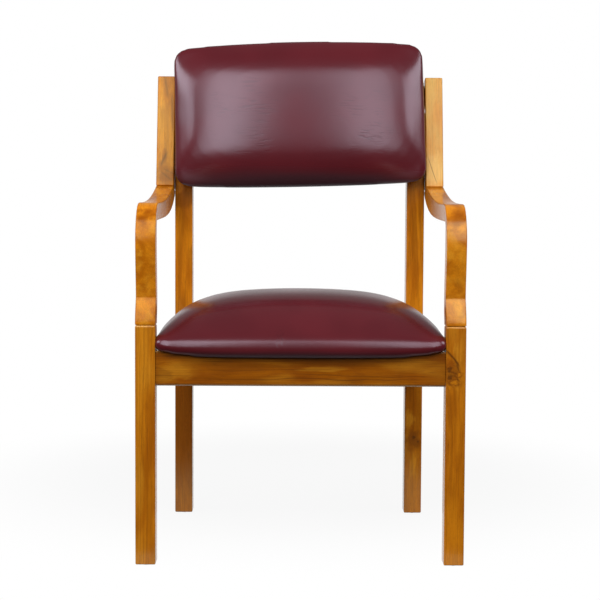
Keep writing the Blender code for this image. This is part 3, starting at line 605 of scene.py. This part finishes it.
# Veins: place, the way across the line, width, reach, strength
BURL_VEINS = [
    ((0.2610, LEG_FACE, 0.3640), (0.75, 0, 0.66), 0.0030, 0.024, 0.9),
    ((0.2690, LEG_FACE, 0.3500), (0.94, 0, 0.33), 0.0034, 0.012, 0.6),
    ((0.2610, LEG_FACE, 0.3380), (0.3, 0, 0.95), 0.0030, 0.012, 0.6),
    ((0.2680, LEG_FACE, 0.3290), (0.7, 0, 0.7), 0.0028, 0.010, 0.6),
]
POST_LEFT_VEINS = [
    ((-0.2640, 0.1700, 0.6830), (0.6, 0, 0.8), 0.0030, 0.020, 0.5),
    ((-0.2590, 0.1715, 0.6920), (0.45, 0, 0.9), 0.0026, 0.016, 0.45),
    ((-0.2700, 0.1785, 0.7150), (0.93, 0, -0.36), 0.0044, 0.020, 0.7),
    ((-0.2680, 0.2090, 0.8585), (0.98, 0, 0.19), 0.0040, 0.030, 0.5),
    ((-0.2560, 0.1960, 0.8060), (1, 0, 0.03), 0.0030, 0.055, 0.5),
]
POST_RIGHT_VEINS = [((0.2643, 0.1728, 0.6965), (0.93, 0, 0.36), 0.0015, 0.034, 0.85)]
RAIL_VEINS = [
    ((0.0300, RAIL_FACE, 0.3270), (0, 0, 1), 0.0016, 0.24, 0.6),
    ((0.1100, RAIL_FACE, 0.3330), (0.02, 0, 1), 0.0012, 0.16, 0.55),
    ((-0.0500, RAIL_FACE, 0.3420), (-0.02, 0, 1), 0.0014, 0.15, 0.45),
    ((0.0600, RAIL_FACE, 0.3560), (0.01, 0, 1), 0.0016, 0.20, 0.4),
]

# Patches: place, radii, shade, strength
BURL_PATCHES = [
    ((0.2615, LEG_FACE, 0.3370), (0.023, DEEP, 0.030), RUSSET, 0.6),
    ((0.2560, LEG_FACE, 0.3540), (0.009, DEEP, 0.014), CHESTNUT, 0.6),
    ((0.2734, LEG_FACE, 0.3354), (0.0080, DEEP, 0.0080), RUSSET, 0.75),
    ((0.2736, LEG_FACE, 0.3356), (0.0045, DEEP, 0.0045), HONEY, 0.8),
    ((0.2648, LEG_FACE, 0.3222), (0.0130, DEEP, 0.0090), RUSSET, 0.75),
    ((0.2648, LEG_FACE, 0.3222), (0.0090, DEEP, 0.0055), HONEY, 0.8),
    ((0.2670, LEG_FACE, 0.3750), (0.0060, DEEP, 0.0200), GOLD, 0.5),
]
REAR_LEG_LEFT_PATCHES = [
    # partly darker figure, partly painted shadow under the back pad
    ((-0.2300, REAR_LEG_FACE, 0.6350), (0.030, DEEP, 0.022), RUSSET, 0.6),
    # painted shade under the seat, darkening the lower leg
    ((-0.2320, REAR_LEG_FACE, 0.1800), (0.080, 0.08, 0.260), RUSSET, 0.95),
]
REAR_LEG_RIGHT_PATCHES = [
    # painted shade under the seat, darkening the lower leg
    ((0.2320, REAR_LEG_FACE, 0.1600), (0.080, 0.08, 0.220), RUSSET, 0.3),
    ((0.2250, REAR_LEG_FACE, 0.1950), (0.013, DEEP, 0.020), GOLD, 0.6),
    ((0.2350, REAR_LEG_FACE, 0.1500), (0.024, DEEP, 0.028), RUSSET, 0.75),
    ((0.2330, REAR_LEG_FACE, 0.0980), (0.009, DEEP, 0.034), GOLD, 0.5),
    ((0.2240, REAR_LEG_FACE, 0.2700), (0.014, DEEP, 0.040), RUSSET, 0.5),
]
# Painted shade on the front curve of both arms, darkening the shoulder and its highlight band
ARM_LEFT_PATCHES = [((-0.2675, -0.236, 0.612), (0.03, 0.028, 0.030), SHOULDER, 0.95)]
ARM_RIGHT_PATCHES = [((0.2675, -0.236, 0.612), (0.03, 0.028, 0.030), SHOULDER, 0.95)]
POST_LEFT_PATCHES = [
    ((-0.2650, 0.1700, 0.6820), (0.030, DEEP, 0.024), SHOULDER, 0.9),
    ((-0.2690, 0.1790, 0.7180), (0.0070, DEEP, 0.022), CHESTNUT, 0.7),
    ((-0.2765, 0.1740, 0.7030), (0.0055, DEEP, 0.014), CHESTNUT, 0.7),
    ((-0.2680, 0.2080, 0.8560), (0.0065, DEEP, 0.034), CHESTNUT, 0.5),
    ((-0.2770, 0.1900, 0.7900), (0.008, DEEP, 0.070), GOLD, 0.6),
]
# painted light: a pale patch that brightens the lower right post
POST_RIGHT_PATCHES = [((0.2700, 0.1728, 0.6950), (0.030, DEEP, 0.060), PALE, 0.7)]
RAIL_PATCHES = [
    ((0.0350, RAIL_FACE, 0.3440), (0.006, DEEP, 0.050), GOLD, 0.5),
    ((-0.2250, RAIL_FACE, 0.3400), (0.020, DEEP, 0.050), GOLD, 0.4),
    # painted shadow of the seat's front lip along the top of the rail
    ((0.0000, RAIL_FACE, 0.3740), (0.036, DEEP, 0.330), RUSSET, 0.95),
]

# What sets the teak of each piece apart
BURL = dict(knots=BURL_KNOTS, veins=BURL_VEINS, patches=BURL_PATCHES)
REAR_LEG = dict(spacing=0.0085, wander=0.03)
ARM = dict(wander=0.03, tone=0.14, contrast=0.2, streaks=0.15, clouds=SHORT_CLOUDS)
POST_LEFT = dict(wander=0.03, streaks=0.45, coat=DULL_COAT, specular=0.38)
# The right post's paler shades are partly its own timber, partly painted light for the stronger light on the
# right.
POST_RIGHT = dict(shades=(STRAW, HONEY), contrast=0.25, streaks=0.1)
# The rail's lower tone is partly its own darker timber, partly painted shade under the seat's lip.
RAIL = dict(tone=-0.12, shades=(AMBER, CHESTNUT), streaks=0.5)

# Name, turn of the grain, pith, finish
TEAK_PIECES = [
    ("front_leg_left", ALONG_Z, (0.052, 0.030, 0.1), dict(spacing=0.0065, contrast=0.3)),
    ("front_leg_right", ALONG_Z, (0.060, -0.034, 0.7), dict(spacing=0.0060, tone=0.04, contrast=0.3, **BURL)),
    # The rear legs' raised tone is painted light against the weaker light that reaches them; their large low
    # patches are painted shade under the seat.
    (
        "rear_leg_left",
        ALONG_Z,
        (-0.044, 0.050, 1.4),
        dict(tone=0.36, patches=REAR_LEG_LEFT_PATCHES, **REAR_LEG),
    ),
    (
        "rear_leg_right",
        ALONG_Z,
        (0.038, 0.046, 2.3),
        dict(tone=0.26, knots=REAR_LEG_KNOTS, patches=REAR_LEG_RIGHT_PATCHES, **REAR_LEG),
    ),
    (
        "arm_left",
        ARM_GRAIN,
        (0.046, 0.064, 3.1),
        dict(spacing=0.014, patches=ARM_LEFT_PATCHES, coat=DULL_COAT, specular=0.2, **ARM),
    ),
    (
        "arm_right",
        ARM_GRAIN,
        (-0.040, 0.058, 3.9),
        dict(spacing=0.013, patches=ARM_RIGHT_PATCHES, specular=0.5, **ARM),
    ),
    (
        "back_post_left",
        ALONG_RAKE,
        (0.036, 0.048, 4.6),
        dict(spacing=0.0075, veins=POST_LEFT_VEINS, patches=POST_LEFT_PATCHES, **POST_LEFT),
    ),
    (
        "back_post_right",
        ALONG_RAKE,
        (-0.042, 0.052, 5.2),
        dict(spacing=0.011, veins=POST_RIGHT_VEINS, patches=POST_RIGHT_PATCHES, **POST_RIGHT),
    ),
    (
        "front_rail",
        ALONG_X,
        (0.020, 0.052, 6.1),
        dict(spacing=0.0075, veins=RAIL_VEINS, patches=RAIL_PATCHES, **RAIL),
    ),
    ("rear_rail", ALONG_X, (0.026, -0.056, 6.9), dict(spacing=0.0075)),
    ("side_rail_left", ALONG_Y, (0.054, 0.022, 7.7), dict(spacing=0.0070)),
    ("side_rail_right", ALONG_Y, (-0.050, 0.026, 8.3), dict(spacing=0.0070)),
    ("back_rail", ALONG_X, (0.024, 0.050, 9.2), dict(spacing=0.0075)),
]


def middle_of(node_name):
    low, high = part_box(node_name)
    return (low + high) / 2


def timber():
    """Legs, arms, posts and rails, each with its own piece of teak."""
    for name, turn, pith, finish in TEAK_PIECES:
        end = None
        if name.startswith("front_leg"):
            end = LEG_END
        if name.startswith("arm"):
            end = ARM_END
        dressed(name, teak(name + "_teak", turn, middle_of(name), pith, **finish), "teak", end)


def inner_frame():
    """Corner blocks, boards and dowels."""
    pine = bare_wood("sawn_pine", ALONG_X, light=(0.56, 0.37, 0.18), dark=(0.36, 0.20, 0.08), spacing=0.0048)
    ply = bare_wood("plywood_face", ALONG_X, light=(0.50, 0.33, 0.17), dark=(0.32, 0.19, 0.085), spacing=0.011)
    beech = bare_wood("beech_dowel", ALONG_Z, light=(0.60, 0.43, 0.25), dark=(0.44, 0.28, 0.14), spacing=0.003)
    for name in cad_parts:
        if name.startswith("corner_block"):
            dressed(name, pine, "pale_wood")
        if name.endswith("_board"):
            dressed(name, ply, "plywood")
        if "_dowel_" in name:
            dressed(name, beech, "dowel_wood")


# Pads


def pad_cage(
    start,
    end,
    rings,
    fronts,
    crown,
    fullness,
    grid,
    crowding,
    bows,
    corner_fall=0.0,
    corner_pull=0.0,
    lift=0.0,
    droop=0.0,
    rear_drop=0.0,
    slump=(0, 0),
    notch=None,
):
    """A coarse closed form: a crowned grid whose rim is drawn down the sides and under, ring by ring.

    Each ring is an inset and a height, with others at the front, where it may droop over what carries it.
    The crown is flatter with more fullness, across and along, and falls at its corners by a share of itself.
    Crowding below 1 draws the grid's lines towards the edges. The pull is of the two front corners, the lift
    of the crown's front edge, the drop of the rear side, and the slump of the rear corners, left and right.
    The two bows are of the front and the rear edge; a notch keeps the rear one off the legs beside it.
    """
    bm = bmesh.new()
    bmesh.ops.create_grid(bm, x_segments=grid[0], y_segments=grid[1], size=1)
    rim = [edge for edge in bm.edges if edge.is_boundary]
    for _ in rings[1:]:
        drawn = bmesh.ops.extrude_edge_only(bm, edges=rim)["geom"]
        points = [item for item in drawn if isinstance(item, bmesh.types.BMVert)]
        bmesh.ops.translate(bm, vec=(0, 0, 1), verts=points)
        rim = [edge for edge in drawn if isinstance(edge, bmesh.types.BMEdge) and edge.is_boundary]
    half_length = (end - start) / 2
    for vert in bm.verts:
        ring = round(vert.co.z)
        a = copysign(abs(vert.co.x) ** crowding, vert.co.x)
        b = copysign(abs(vert.co.y) ** crowding, vert.co.y)
        front = max(0, -b) ** FRONT_SPREAD
        rear = max(0, b) ** REAR_SPREAD
        across = 1 - a * a
        behind = across if notch is None else float(abs(a) < notch)
        inset, height = (plain + front * (ahead - plain) for plain, ahead in zip(rings[ring], fronts[ring]))
        if ring == 0:
            height += crown * (1 - abs(a) ** fullness[0]) * (1 - abs(b) ** fullness[1])
            height -= crown * corner_fall * abs(a) ** fullness[0] * abs(b) ** fullness[1]
            height += lift * (1 - a**4) * front
        x = a * (PAD_HALF_WIDTH - max(inset, rings[ring][0]))
        y = (start + end) / 2 + b * (half_length - inset) + bows[1] * rear * behind - bows[0] * front * across
        y -= rear * a * a * slump[a > 0]
        if ring in SIDE_RINGS and b == -1 and abs(a) == 1:
            x += copysign(corner_pull, a)
            y -= corner_pull / 3
        height -= droop * (1 - a**6) * front * DROOP_SHARES[ring]
        height -= rear_drop * rear * behind * REAR_SHARES[ring]
        vert.co = (x, y, height)
    bmesh.ops.contextual_create(bm, geom=rim)
    bmesh.ops.recalc_face_normals(bm, faces=bm.faces)
    return bm


def soften(bm, times):
    axes = dict(use_axis_x=True, use_axis_y=True, use_axis_z=True)
    for _ in range(times):
        bmesh.ops.smooth_vert(bm, verts=bm.verts, factor=0.5, **axes)


def swollen(name, cage):
    """The pad as its skin holds it: the form is remeshed evenly and blown up by cloth, its underside held.

    The moves that the cloth made are capped and evened out, so that the skin stays taut.
    """
    pad = new_object(name, cage)
    smooth = pad.modifiers.new("form", "SUBSURF")
    smooth.levels = FORM_LEVELS
    smooth.render_levels = FORM_LEVELS
    even = pad.modifiers.new("even", "REMESH")
    even.mode = "VOXEL"
    even.voxel_size = VOXEL
    baked(pad)
    start = [vert.co.copy() for vert in pad.data.vertices]
    held = pad.vertex_groups.new(name="held")
    held.add([index for index, co in enumerate(start) if co.z < HELD_BELOW], 1, "REPLACE")
    cloth = pad.modifiers.new("cloth", "CLOTH")
    cloth.settings.vertex_group_mass = "held"
    cloth.settings.use_pressure = True
    cloth.settings.uniform_pressure_force = PRESSURE
    cloth.settings.effector_weights.gravity = 0
    cloth.point_cache.frame_start = 1
    cloth.point_cache.frame_end = SIM_FRAMES
    for number in range(1, SIM_FRAMES + 1):
        SCENE.frame_set(number)
    swelled = evaluated_mesh(pad)
    pad.modifiers.clear()
    SCENE.frame_set(1)
    bm = bmesh.new()
    bm.from_mesh(pad.data)
    for vert, before, after in zip(bm.verts, start, swelled.vertices):
        move = after.co - before
        vert.co = move * (SWELL_CAP / (SWELL_CAP + move.length))
    soften(bm, MOVE_SMOOTHINGS)
    for vert, before in zip(bm.verts, start):
        vert.co += before
    bm.to_mesh(pad.data)
    bm.free()
    bpy.data.meshes.remove(swelled)
    return pad


def board_room(near, far):
    """Cutter of the room for a pad's board, from near to far along the pad."""
    low = Vector((-PAD_HALF_WIDTH + BOARD_IN, near, ROOM_LOW))
    high = Vector((PAD_HALF_WIDTH - BOARD_IN, far, ROOM_HIGH))
    bm = bmesh.new()
    at = Matrix.Translation((low + high) / 2) @ Matrix.Diagonal((*(high - low), 1))
    bmesh.ops.create_cube(bm, size=1, matrix=at)
    upright = [edge for edge in bm.edges if abs(edge.verts[0].co.z - edge.verts[1].co.z) > VOXEL]
    bmesh.ops.bevel(bm, geom=upright, offset=BOARD_CORNER, affect="EDGES", segments=8, profile=0.5, material=-1)
    return bm


def finished_pad(pad, shift, room, place, material, *nodes):
    """Smooths and shifts the swollen pad, cuts the room of its board and sets it in its place."""
    bm = bmesh.new()
    bm.from_mesh(pad.data)
    soften(bm, SMOOTHINGS)
    bm.transform(shift)
    bm.to_mesh(pad.data)
    bm.free()
    fine = pad.modifiers.new("fine", "SUBSURF")
    fine.levels = 1
    fine.render_levels = 1
    cut_away(pad, room)
    pad.data.transform(place)
    pad.data.materials.clear()
    pad.data.materials.append(material)
    pad.data.shade_smooth()
    pad.data.set_sharp_from_angle(angle=PAD_SHARP)
    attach(pad, "root")
    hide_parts(*nodes)


def seat_pad():
    rings = [
        (0.0005, 0.0365),
        (-0.0060, 0.0240),
        (-0.0030, 0.0105),
        (0.0020, 0),
        (0.0070, 0.0005),
        (0.0130, 0.0005),
        (0.0290, 0.0005),
    ]
    fronts = [
        (0.0107, 0.0300),
        (-0.0085, 0.0190),
        (-0.0072, 0.0042),
        (-0.0005, -0.0010),
        (0.0105, 0),
        (0.0125, 0.0005),
        (0.0290, 0.0005),
    ]
    cage = pad_cage(
        start=-0.0015,
        end=0.436,
        rings=rings,
        fronts=fronts,
        crown=0.0580,
        fullness=(3.3, 3.3),
        grid=(8, 7),
        crowding=0.55,
        bows=(0.004, 0.0165),
        corner_pull=0.008,
        lift=0.006,
        droop=0.0135,
        rear_drop=0.003,
        notch=0.7,
    )
    pad = swollen("seat_pad", cage)
    material = leatherette("seat_leatherette", SEAT_WRINKLES, SEAT_LIP_SHADE, UPRIGHT_CREASES)
    finished_pad(pad, Matrix(), board_room(*SEAT_ROOM), SEAT_PLACE, material, "seat_cover", "seat_foam")


def back_pad():
    rings = [
        (0.0130, 0.0400),
        (-0.0075, 0.0275),
        (-0.0005, 0.0120),
        (0.0040, 0),
        (0.0080, 0.0005),
        (0.0140, 0.0005),
        (0.0290, 0.0005),
    ]
    cage = pad_cage(
        start=BACK_LOW - BACK_SAG,
        end=BACK_HIGH,
        rings=rings,
        fronts=rings,
        crown=0.0215,
        fullness=(3.4, 4.8),
        grid=(6, 5),
        crowding=0.8,
        bows=(0.0055, 0.0085),
        corner_fall=0.7,
        slump=(0.0020, 0.0010),
    )
    pad = swollen("back_pad", cage)
    middle = Vector((0, (BACK_LOW + BACK_HIGH) / 2, 0))
    askew = Matrix.Translation(middle) @ Matrix.Rotation(BACK_TURN, 4, "Z") @ Matrix.Translation(-middle)
    shift = Matrix.Translation((BACK_ASIDE, 0, 0)) @ askew
    place = BACK_PLACE @ Matrix.Translation((0, 0, BACK_UNDER))
    material = leatherette("back_leatherette", BACK_WRINKLES, BACK_FOOT_SHADE)
    finished_pad(pad, shift, board_room(*BACK_ROOM), place, material, "back_cover", "back_foam")


def rear_panel():
    dressed("back_rear_panel", leatherette("panel_leatherette"), "leatherette")


# Fastenings


def hexagon_socket():
    """Cutter of a bolt's socket, into the head along z from its face at z = 0."""
    bm = bmesh.new()
    length = SOCKET_ABOVE + SOCKET_DEPTH
    radii = dict(radius1=SOCKET_RADIUS, radius2=SOCKET_RADIUS)
    bmesh.ops.create_cone(bm, cap_ends=True, segments=6, depth=length, **radii)
    bmesh.ops.translate(bm, vec=(0, 0, (SOCKET_DEPTH - SOCKET_ABOVE) / 2), verts=bm.verts)
    return bm


def cross_recess():
    """Cutter of a screw's recess: a plus that narrows into the head along z from its face at z = 0."""
    bm = bmesh.new()
    bmesh.ops.create_grid(bm, x_segments=3, y_segments=3, size=1)
    corners = [face for face in bm.faces if min(abs(value) for value in face.calc_center_median().xy) > 0.5]
    bmesh.ops.delete(bm, geom=corners, context="FACES")
    for vert in bm.verts:
        x, y = (copysign(RECESS_REACH if abs(value) > 0.5 else RECESS_HALF_WIDTH, value) for value in vert.co.xy)
        vert.co = (x, y, -RECESS_ABOVE)
    drawn = bmesh.ops.extrude_face_region(bm, geom=bm.faces[:])["geom"]
    tip = [item for item in drawn if isinstance(item, bmesh.types.BMVert)]
    bmesh.ops.translate(bm, vec=(0, 0, RECESS_ABOVE + RECESS_DEPTH), verts=tip)
    bmesh.ops.scale(bm, vec=(RECESS_TAPER, RECESS_TAPER, 1), verts=tip)
    bmesh.ops.recalc_face_normals(bm, faces=bm.faces)
    return bm


def fastening(node_name, into, cutter, material):
    """A bolt or screw with its drive cut into the head; into is the way that it points."""
    piece = dressed(node_name, material, "zinc_plated_steel")
    piece.modifiers.clear()
    ends = [(vert.co.dot(into), vert.co.copy()) for vert in piece.data.vertices]
    outermost = min(along for along, _ in ends)
    face = [co for along, co in ends if along < outermost + HEAD_FLATNESS]
    head = sum(face, Vector()) / len(face)
    cutter.transform(Matrix.Translation(head) @ into.to_track_quat("Z", "Y").to_matrix().to_4x4())
    cut_away(piece, cutter)
    piece.data.set_sharp_from_angle(angle=METAL_SHARP)


def fastenings():
    zinc = zinc_plate()
    plastic = moulded_plastic()
    inwards = BACK_PLACE.to_3x3() @ Vector((0, 0, 1))
    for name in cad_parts:
        if "_bolt_" in name:
            fastening(name, Vector((-1 if "_left_" in name else 1, 0, 0)), hexagon_socket(), zinc)
        if name.startswith("seat_screw"):
            fastening(name, Vector((0, 0, 1)), cross_recess(), zinc)
        if name.startswith("back_screw"):
            fastening(name, inwards, cross_recess(), zinc)
        if name.startswith("glide"):
            dressed(name, plastic, "dark_plastic")


# Studio

FLOOR_RADIUS = 0.98
FLOOR_MIDDLE = (0, 0.60, 0)
FLOOR_PAINT = (0.30, 0.30, 0.30, 1)  # takes the chair's shadow
FLOOR_WHITE = (0.92, 1.0)  # share of plain white that is seen, in the middle and at the rim
FADE_START = 0.35 * FLOOR_RADIUS
FADE_END = 0.97 * FLOOR_RADIUS
WHITE = (1, 1, 1, 1)

# Name, azimuth (0 is ahead of the chair), elevation, distance, width, height, radiance
SOFTBOXES = [
    ("front_left", -20, 29, 3.0, 1.15, 2.55, 4.3),
    ("front_right", 20, 29, 3.0, 1.15, 2.55, 3.35),
    ("side_left", -70, 31, 2.4, 1.8, 0.88, 5.1),
    ("side_right", 70, 31, 2.4, 1.8, 0.88, 4.4),
]
SOFTBOX_AIM = Vector((0, 0, 0.75))
WATTS = 4  # for each square metre of a softbox and unit of its radiance

# Strengths of the room, low and high
AHEAD_SHOWN = (0.03, 0.12)  # in reflections
BEHIND_SHOWN = (0.85, 0.2)
FILL = (0.02, 0.16)  # as light
REAR_FILL = (0.7, 0.0)

# Camera, fitted to the photograph
CAMERA_PLACE = (-0.020784, -2.532628 - MIDDLE, 0.628467)
PITCH = 0.065047
ROLL = 0.0051795
YAW = 0.0075207
LENS = 88.807
SENSOR = 36


def floor():
    """A pale round floor that takes the shadow and is seen as nearly plain white."""
    bm = bmesh.new()
    middle = Matrix.Translation(FLOOR_MIDDLE)
    bmesh.ops.create_circle(bm, cap_ends=True, segments=96, radius=FLOOR_RADIUS, matrix=middle)
    ground = new_object("floor", bm)
    material = bpy.data.materials.new("pale_floor")
    material.use_nodes = True
    material.cycles.emission_sampling = "NONE"
    tree = material.node_tree
    tree.nodes.clear()
    path = tree.nodes.new("ShaderNodeLightPath").outputs
    seen = maths(tree, "ADD", path["Is Camera Ray"], path["Is Transmission Ray"])
    seen = maths(tree, "ADD", seen, path["Is Glossy Ray"], clamp=True)
    white = node(tree, "ShaderNodeEmission", {"Color": WHITE, "Strength": 1.0}).outputs[0]
    paint = node(tree, "ShaderNodeBsdfDiffuse", {"Color": FLOOR_PAINT}).outputs[0]
    away = vectors(tree, "DISTANCE", tree.nodes.new("ShaderNodeTexCoord").outputs["Object"], FLOOR_MIDDLE)
    bare = step(tree, away, FADE_START, FADE_END, *FLOOR_WHITE)
    inputs = {0: maths(tree, "MULTIPLY", seen, bare), 1: paint, 2: white}
    mix = node(tree, "ShaderNodeMixShader", inputs).outputs[0]
    node(tree, "ShaderNodeOutputMaterial", {"Surface": mix})
    ground.data.materials.append(material)


def softbox(name, azimuth, elevation, distance, width, height, radiance):
    """A panel of light seen from its aim at that azimuth and elevation, in degrees."""
    data = bpy.data.lights.new(name, "AREA")
    data.shape = "RECTANGLE"
    data.size = width
    data.size_y = height
    data.energy = WATTS * radiance * width * height
    lamp = bpy.data.objects.new(name, data)
    SCENE.collection.objects.link(lamp)
    azimuth = radians(azimuth)
    elevation = radians(elevation)
    way = Vector((sin(azimuth) * cos(elevation), -cos(azimuth) * cos(elevation), sin(elevation)))
    lamp.location = SOFTBOX_AIM + distance * way
    lamp.rotation_euler = way.to_track_quat("Z", "Y").to_euler()


def studio():
    """Softboxes, and a world that is white to the camera, dim in reflections and a weak fill as light."""
    for box in SOFTBOXES:
        softbox(*box)
    world = bpy.data.worlds.new("studio")
    SCENE.world = world
    world.use_nodes = True
    world.cycles.sampling_method = "NONE"
    tree = world.node_tree
    tree.nodes.clear()
    path = tree.nodes.new("ShaderNodeLightPath").outputs
    way = tree.nodes.new("ShaderNodeTexCoord").outputs["Generated"]
    axes = node(tree, "ShaderNodeSeparateXYZ", {0: way}).outputs
    ahead = step(tree, axes["Z"], -0.05, 0.35, *AHEAD_SHOWN)
    behind = step(tree, axes["Z"], 0.0, 0.3, *BEHIND_SHOWN)
    rearward = step(tree, axes["Y"], -0.25, 0.2)
    shown = maths(tree, "MULTIPLY_ADD", rearward, maths(tree, "SUBTRACT", behind, ahead), ahead)
    rear_fill = step(tree, axes["Z"], 0.35, 0.75, *REAR_FILL)
    rear_fill = maths(tree, "MULTIPLY", step(tree, axes["Y"], 0.1, 0.6), rear_fill)
    rear_fill = maths(tree, "MULTIPLY", rear_fill, step(tree, axes["Z"], -0.1, 0.1))
    fill = maths(tree, "ADD", step(tree, axes["Z"], -0.1, 0.3, *FILL), rear_fill)
    seen = maths(tree, "ADD", path["Is Camera Ray"], path["Is Transmission Ray"], clamp=True)
    strength = maths(tree, "MULTIPLY", path["Is Glossy Ray"], shown)
    strength = maths(tree, "ADD", strength, maths(tree, "MULTIPLY", path["Is Diffuse Ray"], fill))
    strength = maths(tree, "ADD", strength, seen)
    back = node(tree, "ShaderNodeBackground", {"Color": WHITE, "Strength": strength}).outputs[0]
    node(tree, "ShaderNodeOutputWorld", {"Surface": back})


def camera():
    """The photograph's view, from a little left of the middle and just above the arms."""
    ahead = Vector((sin(YAW) * cos(PITCH), cos(YAW) * cos(PITCH), -sin(PITCH)))
    right = Vector((cos(YAW), -sin(YAW), 0))
    up = right.cross(ahead)
    across = cos(ROLL) * right + sin(ROLL) * up
    upright = cos(ROLL) * up - sin(ROLL) * right
    data = bpy.data.cameras.new("camera")
    data.sensor_fit = "HORIZONTAL"
    data.sensor_width = SENSOR
    data.lens = LENS
    view = bpy.data.objects.new("camera", data)
    SCENE.collection.objects.link(view)
    pose = Matrix((across, upright, -ahead)).transposed().to_4x4()
    pose.translation = CAMERA_PLACE
    view.matrix_world = pose
    SCENE.camera = view


camera()
timber()
inner_frame()
seat_pad()
back_pad()
rear_panel()
fastenings()
floor()
studio()
SCENE.view_settings.view_transform = "Standard"
